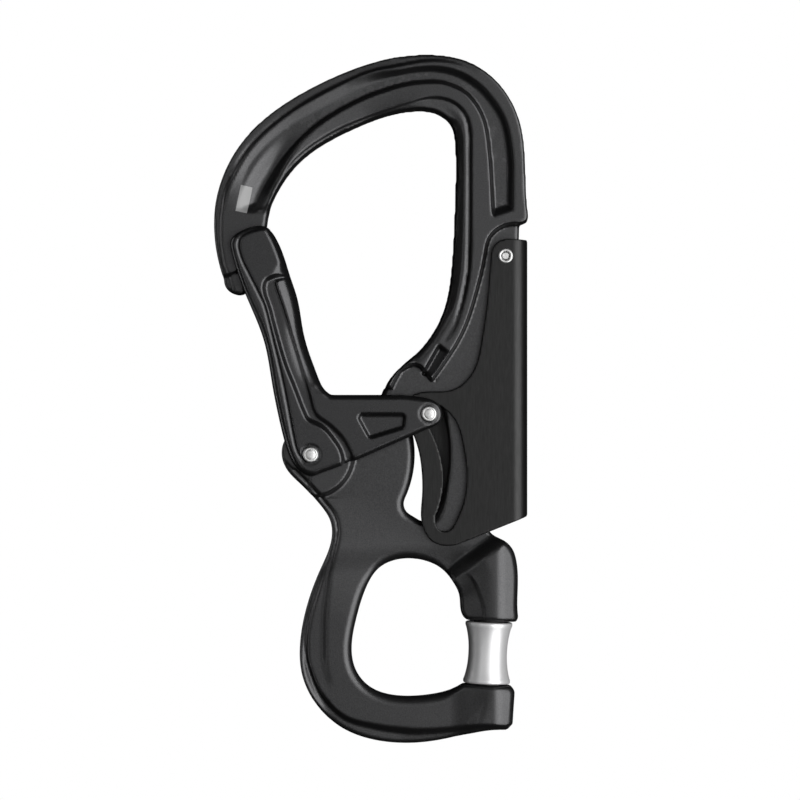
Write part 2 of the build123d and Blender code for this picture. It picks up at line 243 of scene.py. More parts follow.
def skinOf(form, xs, ys, zs):
    # one point in each lattice cell that the surface crosses, and a quad round each crossed lattice edge
    flat = [np.array(a, float) for a in (xs, ys, zs)]
    grid = np.meshgrid(*flat, indexing="ij")
    values = form(*grid)
    inside = values > 0
    cells = tuple(n - 1 for n in values.shape)
    total = np.zeros(cells + (3,))
    count = np.zeros(cells)
    crossings = []
    for axis in range(3):
        lower = [slice(None)] * 3
        upper = [slice(None)] * 3
        lower[axis], upper[axis] = slice(0, -1), slice(1, None)
        lower, upper = tuple(lower), tuple(upper)
        crossed = inside[lower] != inside[upper]
        crossings.append(crossed)
        share = np.where(crossed, values[lower] / np.where(crossed, values[lower] - values[upper], 1), 0)
        others = (axis + 1) % 3, (axis + 2) % 3
        for first in (0, 1):
            for second in (0, 1):
                pick = [slice(None)] * 3
                pick[others[0]] = slice(first, first + cells[others[0]])
                pick[others[1]] = slice(second, second + cells[others[1]])
                pick = tuple(pick)
                for c in range(3):
                    place = grid[c][lower][pick]
                    if c == axis:
                        place = place + share[pick] * (grid[c][upper][pick] - place)
                    total[..., c] += np.where(crossed[pick], place, 0)
                count += crossed[pick]
    used = count > 0
    number = np.full(cells, -1)
    number[used] = np.arange(used.sum())
    points = total[used] / count[used][:, None]
    quads = []
    for axis in range(3):
        others = (axis + 1) % 3, (axis + 2) % 3
        at = np.argwhere(crossings[axis])
        whole = np.ones(len(at), bool)
        for o in others:
            whole &= (at[:, o] > 0) & (at[:, o] < cells[o])
        at = at[whole]
        ring = []
        for first, second in ((1, 1), (0, 1), (0, 0), (1, 0)):
            cell = at.copy()
            cell[:, others[0]] -= first
            cell[:, others[1]] -= second
            ring.append(number[tuple(cell.T)])
        ring = np.stack(ring, axis=1)
        outward = inside[tuple(at.T)]
        quads.append(np.where(outward[:, None], ring, ring[:, ::-1]))
    return points, np.vstack(quads)


def slopeOf(form, p, reach):
    g = []
    for c in range(3):
        step = np.zeros(3)
        step[c] = reach
        g.append((form(*(p + step).T) - form(*(p - step).T)) / (2 * reach))
    return np.stack(g, axis=1)


def forgedMesh(name, form, xs, ys, zs, limit=0.3):
    # the form's skin as a smooth mesh, its points pulled onto the exact surface
    points, quads = skinOf(form, xs, ys, zs)
    for _ in range(4):
        g = slopeOf(form, points, 0.06)
        move = form(*points.T)[:, None] * g / np.maximum((g * g).sum(axis=1), 0.05)[:, None]
        size = np.linalg.norm(move, axis=1)[:, None]
        points = points - move * np.minimum(1, limit / np.maximum(size, 1e-9))
    mesh = bpy.data.meshes.new(name)
    mesh.from_pydata((points * mm).tolist(), [], quads.tolist())
    mesh.validate()
    mesh.shade_smooth()
    normals = -slopeOf(form, points, 0.12)
    normals /= np.maximum(np.linalg.norm(normals, axis=1), 1e-9)[:, None]
    mesh.normals_split_custom_set_from_vertices(normals.tolist())
    piece = bpy.data.objects.new(name, mesh)
    bpy.context.scene.collection.objects.link(piece)
    print(name, "skin:", len(quads), "quads")
    return piece


def lattice(node, cell, layers):
    # grid lines for a skin: square cells in the plan, and layers on both sides of the middle plane
    low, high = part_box(node)
    xs = np.arange(low.x / mm - 1, high.x / mm + 1, cell)
    zs = np.arange(low.z / mm - 1, high.z / mm + 1, cell)
    layers = np.array(layers)
    return xs, np.concatenate([-layers[::-1], layers]), zs


# The forged frame: hook, spine, neck, eye and lugs. A pair of tuples holds shares of a curve and values there

hookFrame = {
    # half thicknesses, and the construction's levels as depths with the rise at each
    "web": 2.5, "beam": 6.0, "ring": 5.4, "boss": 4.3, "nose": 4.0, "floor": 3.9,
    "levels": ((3.0, 1.2), (3.9, 0.4), (4.2, 0.2), (5.0, 1.1), (5.9, 0.6)), "levelEdge": (-0.1, 0.4),
    "outlineAt": 2.3, "hookFoot": -66, "neckTop": -90, "eyeTop": -98, "upperLugEnd": -124,
    "bossAt": (-29.7, -79.3), "bossEdge": (11.2, 10.0),
    # grid cell and layers of the skin
    "cell": 0.48, "layers": [0.35, 1.1, 1.8, 2.3, 2.7, 3.1, 3.5, 3.9, 4.3, 4.7, 5.1, 5.5, 5.9, 6.3],
    # the recess floor's two sides, from the spine over the top and down the hook's arm
    "floorOuter": [(19, -22), (19.1, -14), (19.1, -5.75), (17.6, 3), (13.5, 9.6), (8.75, 13.6),
                   (3.75, 15.5), (-2, 15.8), (-9, 14.6), (-16.25, 12.1), (-27.5, 6.4), (-36.5, 1.2),
                   (-43.6, -5.6), (-46.6, -11.5), (-48.2, -18.6)],
    "floorInner": [(16.6, -22), (16.1, -17), (15.4, -5.75), (13.9, 3.75), (10.1, 10.1), (5, 13.1),
                   (0, 13.8), (-7.5, 12.8), (-17.5, 9.3), (-27.5, 3.6), (-34.6, -2.4), (-39.5, -8.25),
                   (-42.5, -13.25), (-44.6, -18.6)],
    # each wall's width at shares of its run, how far the walls belong to the recess, and its two ends
    "outerWall": ((0, 0.3, 0.5, 0.62, 0.9, 1), (1.9, 1.6, 1.4, 3.8, 3.6, 2.4)),
    "innerWall": ((0, 0.3, 0.7, 0.78, 0.9, 1), (1.1, 0.9, 0.9, 1.3, 3.8, 4.8)),
    "wallReach": 3.4, "armEnd": -19.6, "spineEnd": (-17.3, -19.5), "spineEndLean": 0.33,
    # on the hook's arm the band outside the recess is lower, and the flange inside it leans
    "armShare": (0.48, 0.62), "armDrop": 0.8, "flangeLean": 0.2,
    # the rim's step outside the recess, and the shoulder's step along the inner side
    "rimStep": [(12, 15.6), (7, 18.2), (0, 19.1), (-8, 17.9), (-16.25, 16.1), (-27.5, 11), (-37.5, 4.75),
                (-45, -2.25), (-50, -10.75), (-51.6, -17), (-52.1, -24.5), (-51.3, -31), (-50, -35)],
    "rimDrop": ((0, 0.15, 0.4, 0.7, 1), (0, 0.6, 1.2, 1.2, 0.9)),
    "rimBreadth": ((0, 0.25, 0.4, 0.62, 0.8, 1), (0.7, 0.8, 1.1, 1.1, 0.9, 0.8)),
    "shoulder": [(3.6, -52), (6.7, -47), (9.3, -37.25), (10.15, -28), (10.25, -5.75), (10.1, 1.5),
                 (8.6, 5.8), (5, 8.7), (0, 9.4), (-6, 7.9), (-16.7, 4.3), (-25.6, 0.1), (-33.4, -5.6),
                 (-38.5, -12.5), (-41.2, -18), (-42.3, -24)],
    "shoulderDrop": ((0, 0.12, 0.4, 0.58, 0.85, 0.93, 1), (0, 1.5, 1.5, 0.55, 0.5, 0, 0)),
    "spineBead": 0.5,
    # how the hook's end thins outside and inside the recess, and the floor's fall to the inner wall's foot
    "noseFrom": -30, "outerTaper": (-4, -20), "innerTaper": (-16.4, -19.8), "fall": 1.7,
    "fallEnd": (-16.4, -19.6), "noseTip": [(-55, -36.2), (-45, -32.6)], "tipDrop": 0.8,
    # a scoop where the spine ends, deepest along its first side
    "scoop": [(2.2, -52.4), (-1.6, -59.1), (1.1, -61), (4.7, -54.1)], "scoopStep": 0.2, "scoopSlope": 0.75,
    # the crease inside the rim of neck and eye, and the eye's outer step
    "crease": [(-33.6, -83.2), (-29.25, -87.5), (-24.1, -93.75), (-22.8, -97.8), (-23.25, -101.5),
               (-24.5, -106.25), (-25.75, -110.25), (-26.8, -118.25), (-27, -126.25), (-26.8, -132.25),
               (-25, -138)],
    "creaseDrop": ((0, 0.1, 0.85, 1), (0.3, 0.6, 0.6, 0)),
    "creaseLine": ((0, 0.35, 0.5, 1), (0.45, 0.45, 0, 0)),
    "eyeStep": [(-23.9, -99.5), (-24.6, -102.25), (-27, -110.25), (-30.1, -120.5), (-30.9, -127.75),
                (-29.9, -133.25), (-27, -139.6), (-21.75, -145), (-15, -147.4), (-5, -149), (5, -148.5),
                (12.75, -147.5), (20, -147.4)],
    "eyeDrop": ((0, 0.1, 0.3, 0.55, 0.7, 0.9, 1), (0, 0.5, 1.3, 1.5, 1.9, 1.4, 0.9)),
    "eyeBreadth": ((0, 0.2, 0.5, 0.7, 0.9, 1), (0.3, 0.6, 0.9, 2.0, 1.6, 1.0)),
    "eyeAt": (-7, -124), "eyeStretch": 1.25, "swell": 0.028, "swellWidth": 8.5,
    # the slope that lifts the upper lug, the lug's inner rim, and the lugs' fall towards their outer side
    "lugSlope": [(1, -109), (4.75, -106.25), (13.25, -100.25), (18, -97)], "lugRise": 4.6,
    "lugRim": [(2.75, -105), (5.15, -106), (9, -108.25), (11.75, -112), (13.4, -117.4), (13.5, -120.3),
               (13.5, -124)],
    "lugRimDrop": 0.9, "lugFacet": 0.55, "upperFacetFrom": 16.2, "lowerFacetFrom": 15.6, "facetEase": 2.6,
    # edge roundings, and the share of the local half thickness that none of them passes
    "roundings": {"hook": 1.1, "neck": 0.9, "rim": 0.6, "spine": 2.8, "ring": 1.2, "eye": 2.3, "window": 2.0,
                  "lugs": 1.3, "lugMouth": 1.2},
    "mostRounding": 0.8,
}


def recessFloor(plan):
    # signed distance to the floor's closed outline
    outer = smoothRun(hookFrame["floorOuter"])
    inner = smoothRun(hookFrame["floorInner"])[::-1, ::-1]
    ends = np.array([[outer[-1][1], inner[0][0]], [inner[-1][1], outer[0][0]]])
    return signedDistance(plan, np.concatenate([outer, ends, inner]))


def frameLevels(plan, outline, recess):
    # the construction's levels, softened at their edges, and the boss round the gate's pivot
    v = hookFrame
    onHook = plan["z"] > v["hookFoot"]
    height = np.full(outline.shape, v["web"])
    for depth, rise in v["levels"]:
        step = innerSteps(plan, "hook_frame", depth, outline, recess)
        height += rise * ramp(step, *v["levelEdge"]) * onHook
    boss = np.hypot(plan["x"] - v["bossAt"][0], plan["z"] - v["bossAt"][1])
    return height + (v["boss"] - v["web"]) * ramp(boss, *v["bossEdge"]) * ~onHook


def cutRecess(plan, height, floor, recess):
    # a sloped wall from each side down to the floor, a straight one along the hook's arm
    v = hookFrame
    x, z = plan["x"], plan["z"]
    side, share = besideRun(plan, v["floorOuter"])
    rise = -side / np.interp(share, *v["outerWall"])
    arm = ramp(share, *v["armShare"])
    wallOut = (1 - arm) * ramp(rise, 0, 1) + arm * np.clip(rise, 0, 1)
    height = height - v["armDrop"] * arm * (side < 0)
    side, share = besideRun(plan, v["floorInner"])
    wallIn = ramp(side / np.interp(share, *v["innerWall"]), 0, 1)
    wall = np.minimum(np.where(wallOut > 0, wallOut, 1), np.where(wallIn > 0, wallIn, 1))
    wall = np.where(floor > 0, 0, wall)
    atSpineEnd = ramp(z - v["spineEndLean"] * (x - 18.5), *v["spineEnd"]) * (x > 0)
    wall = np.where(recess > -1.9, np.maximum(wall, atSpineEnd), 1)
    height = np.where(z > v["hookFoot"], v["floor"] + (height - v["floor"]) * wall, height)
    lean = ramp(share, 0.45, 0.62) * (1 - ramp(share, 0.9, 1)) * beside(side)
    return height - v["flangeLean"] * np.clip(side, 0, 6) * lean


def stepRims(plan, height):
    # the rim is lower than the band that it borders, and the shoulder lower than the flange
    v = hookFrame
    side, share = besideRun(plan, v["rimStep"])
    breadth = np.interp(share, *v["rimBreadth"])
    height = height - np.interp(share, *v["rimDrop"]) * ramp(-side, -breadth, -0.3) * beside(side)
    side, share = besideRun(plan, v["shoulder"])
    height -= np.interp(share, *v["shoulderDrop"]) * ramp(side, -0.15, 0.3) * beside(side)
    # a soft bead along the shoulder on the spine
    onSpine = ramp(share, 0.02, 0.1) * (1 - ramp(share, 0.4, 0.55))
    return height + v["spineBead"] * bead(side - 1.6, 1.0) * onSpine


def thinNose(plan, height):
    # the hook's end thins to the nose: slowly outside the recess, over a short stretch inside it
    v = hookFrame
    x, z = plan["x"], plan["z"]
    onArm = x < v["noseFrom"]
    side, share = besideRun(plan, v["floorInner"], 12.0)
    inner = ramp(side, -0.6, 0.8) * beside(side, 12.0)
    end = ramp(z, *v["outerTaper"]) * (1 - inner) + ramp(z, *v["innerTaper"]) * inner
    height = np.where(onArm, height + (v["nose"] - height) * end, height)
    # the floor falls away towards the foot of the inner wall at the arm's end
    foot = 1 - ramp(side / np.interp(share, *v["innerWall"]), 0, 1)
    fall = ramp(share, 0.76, 0.9) * ramp(side, -4.2, 0) * foot * (1 - ramp(z, *v["fallEnd"]))
    height -= v["fall"] * fall * onArm
    side, share = besideRun(plan, v["rimStep"])
    height -= v["tipDrop"] * end * onArm * ramp(-side, -0.2, 0.35) * beside(side)
    side, share = besideRun(plan, v["noseTip"])
    return height - v["tipDrop"] * ramp(-side, -0.15, 0.3) * beside(side)


def cutScoop(plan, height):
    v = hookFrame
    scoop = signedDistance(plan, closedLoop(v["scoop"]))
    side, share = besideRun(plan, [v["scoop"][3], v["scoop"][2]])
    deep = v["scoopStep"] + v["scoopSlope"] * np.abs(side)
    return height - deep * ramp(scoop, -0.5, 0.5) * beside(side)


def raiseEye(plan, height):
    # the neck thickens slowly to the ring, and a slope lifts the upper lug
    v = hookFrame
    x, z = plan["x"], plan["z"]
    lower = v["web"] + (v["ring"] - v["web"]) * ramp(-z - 0.55 * x * ramp(z, -138, -118), 98, 133)
    side, share = besideRun(plan, v["lugSlope"], 30.0)
    lug = ramp(-side, 0, v["lugRise"]) * (z > v["upperLugEnd"]) * (x > 0)
    lower = np.maximum(lower, v["web"] + (v["beam"] - v["web"]) * lug)
    facetFrom = np.where(z > -130, v["upperFacetFrom"], v["lowerFacetFrom"])
    lower -= v["lugFacet"] * easeIn(x - facetFrom, v["facetEase"])
    side, share = besideRun(plan, v["lugRim"])
    onRim = ramp(share, 0.25, 0.6) * beside(side) * (z > v["upperLugEnd"])
    lower -= v["lugRimDrop"] * ramp(-side, -0.1, 0.5) * onRim
    return np.where(z < v["neckTop"], np.maximum(height, lower), height)


def stepEye(plan, height, outline, fromEye):
    # crease and step along the outer side, and a swell away from the eye's edge
    v = hookFrame
    x, z = plan["x"], plan["z"]
    side, share = besideRun(plan, v["crease"])
    breadth = 0.25 + 1.4 * ramp(share, 0.35, 0.6)
    height = height - np.interp(share, *v["creaseDrop"]) * ramp(-side, -breadth, 0.25) * beside(side)
    height -= np.interp(share, *v["creaseLine"]) * bead(side, 0.3)
    side, share = besideRun(plan, v["eyeStep"])
    breadth = np.interp(share, *v["eyeBreadth"])
    height -= np.interp(share, *v["eyeDrop"]) * ramp(-side / breadth, -0.9, 0.15) * beside(side)
    swell = v["swell"] * np.clip(v["swellWidth"] + outline, 0, 8) ** 2
    return height - swell * (1 - ramp(fromEye, 24, 27)) * ramp(z, -101, -110) * (1 - ramp(x, 5, 16))


def frameEdges(plan, height, floor, fromEye):
    # broad on the spine's inner side and round the eye, finer elsewhere
    v = hookFrame
    x, z = plan["x"], plan["z"]
    radius = v["roundings"]
    onHook = z > v["hookFoot"]
    eye = radius["ring"] + (radius["eye"] - radius["ring"]) * (1 - ramp(fromEye, 16.0, 18.5))
    areas = (
        ((x < -8) & (z > -30) & (floor < 0) & (z > 0.64 * x + 14), radius["rim"]),
        ((x > -4) & (x < 12) & (z < 4) & onHook, radius["spine"]),
        (z < v["eyeTop"], eye),
        ((x > -14) & (x < 4) & (z < -58) & (z > -97), radius["window"]),
        ((x > 15) & (z < v["eyeTop"]), radius["lugs"]),
        ((x > 3) & (x < 13) & (z < -100) & (z > v["upperLugEnd"]), radius["lugMouth"]),
    )
    rounding = np.where(onHook, radius["hook"], radius["neck"])
    for area, value in areas:
        rounding = np.where(area, value, rounding)
    return np.minimum(blurred(rounding, 8), v["mostRounding"] * height)


def frameSkin():
    v = hookFrame
    plan = makePlan("hook_frame")
    outline = blurred(signedDistance(plan, cutAt("hook_frame", v["outlineAt"])), 3)
    floor = recessFloor(plan)
    recess = np.minimum(floor + v["wallReach"], plan["z"] - v["armEnd"])
    fromEye = np.hypot(plan["x"] - v["eyeAt"][0], (plan["z"] - v["eyeAt"][1]) / v["eyeStretch"])
    height = frameLevels(plan, outline, recess)
    height = cutRecess(plan, height, floor, recess)
    height = stepRims(plan, height)
    height = thinNose(plan, height)
    height = cutScoop(plan, height)
    height = raiseEye(plan, height)
    height = blurred(stepEye(plan, height, outline, fromEye))
    form = plateForm(plan, outline, height, frameEdges(plan, height, floor, fromEye))
    return forgedMesh("hook_frame_forging", form, *lattice("hook_frame", v["cell"], v["layers"]))


# The gate: two cheeks and a bridge, with a raised pad, a strip and a disc, a rib and a pocket

gateCast = {
    # half thicknesses
    "raised": 6.85, "arm": 6.15, "groove": 5.55, "pocketFloor": 5.25, "cheek": 4.65,
    "pivotAt": (-29.7, -79.3), "followerAt": (-0.294, -69.175), "holeFill": 3.0,
    # depths at which the construction shows the outline, the pocket and the bridge
    "outlineAt": -5.0, "pocketAt": -6.0, "bridgeAt": 1.0,
    "cell": 0.4, "layers": [0.6, 1.8, 3.0, 4.0, 4.5, 4.8, 5.1, 5.4, 5.7, 6.0, 6.3, 6.6, 6.9, 7.2],
    # the groove's left side, from under the pad down and round the disc
    "grooveLeft": [(-32, -33.9), (-35.5, -34.3), (-38.75, -34.5), (-40.9, -35.5), (-41.75, -37.3),
                   (-41.5, -39.75), (-40.3, -43.25), (-39.1, -47.9), (-36.6, -56.5), (-34.1, -62.9),
                   (-31.9, -68.6), (-30.5, -71), (-26.9, -72.9), (-24.4, -75.75), (-22.65, -78.6),
                   (-22, -81.75), (-21.9, -85)],
    # the groove's right side, beside rib and arm
    "grooveRight": [(-34, -34.9), (-36.5, -35.1), (-38.4, -35.9), (-38.75, -37), (-37.5, -40.75),
                    (-36.25, -44.5), (-34.6, -50), (-32.65, -56.5), (-30.5, -63.5), (-28.75, -69.25),
                    (-25.15, -72.2), (-22.3, -75), (-20.5, -77.9), (-19.75, -80), (-19.4, -84)],
    # the crease inside the outer edge's bead
    "crease": [(-38.5, -22.5), (-41, -22.9), (-43, -23.4), (-45.25, -24.1), (-47, -25.25), (-47.6, -26.75),
               (-47.55, -28.25), (-46.55, -31.4), (-44.7, -35.1), (-42.5, -39.5), (-40.9, -43.25),
               (-38.75, -52), (-37.65, -56.5), (-36.25, -62.9), (-35.15, -68.6), (-34.1, -74.3),
               (-33, -78.6), (-30.85, -81.8), (-28, -83)],
    "creaseDepth": 0.5, "creaseStep": 0.12, "creaseWidth": 0.24,
    # a fine rim round the follower's end of the arm
    "tipRim": 2.25, "tipRimDepth": 0.2, "tipRimWidth": 0.3,
    # the edge on the throat's side, from the pad to the elbow, and how pad and rib fall away towards it
    "throatEdge": [(-40.4, -22.2), (-39.25, -23), (-37.5, -27), (-35.25, -33.5), (-33.75, -38.5),
                   (-32, -44.5), (-31.5, -49.5), (-29.75, -56), (-27.25, -61.5), (-25.75, -64.25)],
    "facet": 0.6, "facetFrom": ((0, 0.22, 0.28, 1), (2.1, 2.1, 5.2, 5.2)),
    "facetEase": ((0, 0.22, 0.28, 1), (1.4, 1.4, 3.4, 3.4)),
    "legRounding": 1.9, "edgeRounding": 1.6,
}


def gateHeight(plan, holes, pocket, outline, tip):
    # groove between raised pad, strip and disc on its left and rib and arm on its right, then the fine lines
    v = gateCast
    side, share = besideRun(plan, v["grooveLeft"], 40.0)
    height = v["groove"] + (v["raised"] - v["groove"]) * ramp(-side, -1.2, 0.1)
    side, share = besideRun(plan, v["grooveRight"], 40.0)
    height += (v["arm"] - v["groove"]) * ramp(side, -0.1, 0.8)
    side, share = besideRun(plan, v["crease"])
    faint = ramp(share, 0, 0.12) * (1 - ramp(share, 0.9, 1))
    height -= v["creaseDepth"] * bead(side, v["creaseWidth"]) * faint
    height -= v["creaseStep"] * ramp(-side, 0, 0.3) * beside(side) * faint
    sunk = (v["arm"] - v["pocketFloor"]) * ramp(-pocket, 0, 0.9) * (outline > 1.2)
    height = np.where(holes > 2.4, height - sunk, height)
    return height - v["tipRimDepth"] * bead(tip - v["tipRim"], v["tipRimWidth"])


def gateSkin():
    v = gateCast
    plan = makePlan("gate")
    pivot, tip = [np.hypot(plan["x"] - x, plan["z"] - z) for x, z in (v["pivotAt"], v["followerAt"])]
    holes = np.minimum(pivot, tip)
    filled = v["holeFill"] - holes
    outline = blurred(signedDistance(plan, cutAt("gate", v["outlineAt"])), 3)
    outline = np.maximum(outline, filled)
    pocket = innerSteps(plan, "gate", v["pocketAt"], outline, filled)
    bridge = signedDistance(plan, cutAt("gate", v["bridgeAt"]))
    height = gateHeight(plan, holes, pocket, outline, tip)

    # pad and rib fall away towards the edge on the throat's side
    side, share = besideRun(plan, v["throatEdge"])
    near = beside(side) * ramp(share, 0, 0.06) * (1 - ramp(share, 0.82, 1))
    start, width = [np.interp(share, *v[key]) for key in ("facetFrom", "facetEase")]
    height -= v["facet"] * easeIn(start + side, width) * near
    onLeg = ramp(side, -4, -2) * near
    side, share = besideRun(plan, v["crease"])
    outside = ramp(-side, 0, 1) * ramp(share, 0.3, 0.45) * (1 - ramp(share, 0.9, 1)) * beside(side)
    onLeg = np.maximum(onLeg, outside)
    rounding = blurred(v["edgeRounding"] + (v["legRounding"] - v["edgeRounding"]) * onLeg, 6)
    cheeks = plateForm(plan, outline, blurred(height), rounding)

    def form(x, y, z):
        core = np.maximum(sample(plan, bridge, x, z), np.abs(y) - v["cheek"])
        return np.minimum(cheeks(x, y, z), core)

    return forgedMesh("gate_casting", form, *lattice("gate", v["cell"], v["layers"]))


# The palm lever: a folded sheet with two cheeks, a rounded back and the cam slot

palmLever = {
    "outer": 4.3, "inner": 2.9, "back": 24.3, "sheet": 1.4, "bendOuter": 3.7, "bendInner": 1.2,
    "edge": 0.22, "cuts": (-3.6, 3.6), "spineFrom": 19.4, "farEnd": -20, "planStep": 0.2,
    "cell": 0.45, "limit": 0.15,
    "layers": [0.25, 0.75, 1.25, 1.75, 2.2, 2.6, 3.0, 3.35, 3.7, 4.0, 4.3, 4.6],
    # the cheeks' upper and lower edges carried round the bend
    "spine": [(19.4, -25.6), (26, -25.98), (26, -94.04), (15.1, -98.4)],
}


def roundedBox(x, y, far, back, half, radius):
    # distance inside a rectangle in the XY plane with rounded corners
    qx = np.abs(x - far) - (back - far - radius)
    qy = np.abs(y) - (half - radius)
    outside = np.hypot(np.maximum(qx, 0), np.maximum(qy, 0))
    return radius - outside - np.minimum(np.maximum(qx, qy), 0)


def leverSkin():
    v = palmLever
    plan = makePlan("palm_lever", v["planStep"])
    spine = signedDistance(plan, closedLoop(v["spine"]))
    cheeks = [signedDistance(plan, cutAt("palm_lever", depth)) for depth in v["cuts"]]
    onSpine = plan["x"] > v["spineFrom"]
    front, rear = [np.where(onSpine, np.maximum(cheek, spine), cheek) for cheek in cheeks]

    def form(x, y, z):
        skin = roundedBox(x, y, v["farEnd"], v["back"], v["outer"], v["bendOuter"])
        hollow = roundedBox(x, y, v["farEnd"], v["back"] - v["sheet"], v["inner"], v["bendInner"])
        sheet = np.minimum(skin, -hollow)
        outline = np.where(y < 0, sample(plan, front, x, z), sample(plan, rear, x, z))
        return roundedMeet(outline, sheet, v["edge"])

    return forgedMesh("palm_lever_sheet", form, *lattice("palm_lever", v["cell"], v["layers"]), v["limit"])


# Turned pieces: rivets and spool

def lathe(name, profile, segments=72):
    # a closed profile of (radius, length) points turned about Z, in millimetres
    points = []
    for k in range(segments):
        a = 2 * math.pi * k / segments
        points += [(r * math.cos(a) * mm, r * math.sin(a) * mm, h * mm) for r, h in profile]
    n = len(profile)
    faces = []
    for k in range(segments):
        following = (k + 1) % segments
        for i in range(n - 1):
            faces.append((k * n + i, following * n + i, following * n + i + 1, k * n + i + 1))
    mesh = bpy.data.meshes.new(name)
    mesh.from_pydata(points, [], faces)
    mesh.validate()
    mesh.shade_smooth()
    piece = bpy.data.objects.new(name, mesh)
    bpy.context.scene.collection.objects.link(piece)
    return piece


def arcRun(cx, cz, radius, start, end, steps=6):
    # points on an arc, angles in degrees
    run = []
    for i in range(steps + 1):
        a = math.radians(start + (end - start) * i / steps)
        run.append((cx + radius * math.cos(a), cz + radius * math.sin(a)))
    return run


rivets = {
    "headHeight": 0.9, "headRadius": 1.88, "edge": 0.35, "crown": 0.14, "ring": 0.07, "ringAt": 1.25,
    "ringWidth": 0.12, "gateShank": 1.5, "studShank": 1.0, "tubeBore": 0.8, "tubeRoll": 0.42,
}


def placeAlongY(piece, node):
    # from the lathe's Z axis to the node's own axis along Y
    low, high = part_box(node)
    middle = (low + high) / 2
    for vertex in piece.data.vertices:
        x, y, z = vertex.co
        vertex.co = (x + middle.x, -z + middle.y, y + middle.z)
    piece.data.update()
    return piece


def rivetSkin(name, node, shank, bothEnds=True):
    # low pressed heads with a shallow ring near the rim
    v = rivets
    low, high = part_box(node)
    half = (high.y - low.y) / 2 / mm
    face = half - v["headHeight"]
    head = []
    for radius in (0.001, 0.5, 0.9, 1.1, 1.2, 1.3, 1.4, 1.5):
        ring = math.exp(-((radius - v["ringAt"]) / v["ringWidth"]) ** 2)
        head.append((radius, half - v["crown"] * (radius / 1.5) ** 2 - v["ring"] * ring))
    head += arcRun(v["headRadius"] - v["edge"], half - v["crown"] - v["edge"], v["edge"], 80, 0, 5)
    head += [(v["headRadius"], face), (shank, face)]
    end = [(r, -h) for r, h in reversed(head)] if bothEnds else [(shank, -half), (0.001, -half)]
    return placeAlongY(lathe(name, head + end), node)


def tubeRivetSkin(name, node):
    v = rivets
    low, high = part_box(node)
    half = (high.y - low.y) / 2 / mm
    bore = v["tubeBore"]
    rise = v["tubeRoll"]
    middle = (v["headRadius"] + bore) / 2 + 0.1
    roll = (v["headRadius"] - bore) / 2 - 0.1
    rolled = [(middle + roll * math.cos(a), half - rise + rise * math.sin(a))
              for a in (0, 0.4, 0.8, 1.2, 1.57, 2.0, 2.4, 2.8, 3.14)]
    rolled = [(bore + 0.02, half - 0.75)] + rolled[::-1] + [(v["headRadius"], half - 0.5), (1.5, half - 0.5)]
    profile = rolled + [(r, -h) for r, h in reversed(rolled)] + rolled[:1]
    return placeAlongY(lathe(name, profile), node)


spoolTurning = {"end": 5.87, "waist": 4.82, "bore": 3.0, "half": 7.65, "lip": 0.8, "groove": 0.06}


def spoolSkin():
    v = spoolTurning
    profile = [(v["bore"], -v["half"] + 1.0), (4.2, -v["half"] + 1.0), (4.25, -v["half"] + 0.1)]
    side = [(4.4, -v["half"]), (v["end"] - 0.35, -v["half"]), (v["end"] - 0.1, -v["half"] + 0.12),
            (v["end"], -v["half"] + 0.35), (v["end"], -v["half"] + v["lip"])]
    count = 25
    reach = v["half"] - v["lip"]
    for i in range(1, count):
        t = -1 + 2 * i / count
        side.append((v["waist"] + (v["end"] - v["waist"] - 0.05) * abs(t) ** 2.2, t * reach))
    side += [(r, -h) for r, h in reversed(side[:5])]
    profile += side + [(r, -h) for r, h in reversed(profile)] + profile[:1]
    piece = lathe("spool_turned", profile, 96)
    low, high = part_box("spool")
    middle = (low + high) / 2
    joint = next(j for j in frame["joints"] if j["name"] == "spool_spin")
    turn = Vector((0, 0, 1)).rotation_difference(Vector(joint["axis"]))
    for vertex in piece.data.vertices:
        vertex.co = turn @ vertex.co + middle
    piece.data.update()
    return piece


# Effects that several finishes share

def newGroup(name, inputs, outputs):
    group = bpy.data.node_groups.new(name, "ShaderNodeTree")
    for label, kind, value in inputs:
        socket = group.interface.new_socket(label, in_out="INPUT", socket_type=kind)
        socket.default_value = value
    for label, kind in outputs:
        group.interface.new_socket(label, in_out="OUTPUT", socket_type=kind)
    start = group.nodes.new("NodeGroupInput")
    end = group.nodes.new("NodeGroupOutput")
    return group, start, end


def addNode(tree, kind, **settings):
    node = tree.nodes.new(kind)
    for key, value in settings.items():
        setattr(node, key, value)
    return node


def mathNode(tree, operation, a, b=None, clamp=False):
    node = addNode(tree, "ShaderNodeMath", operation=operation, use_clamp=clamp)
    for socket, value in zip(node.inputs, (a, b)):
        if value is None:
            continue
        if isinstance(value, (int, float)):
            socket.default_value = value
        else:
            tree.links.new(value, socket)
    return node.outputs[0]


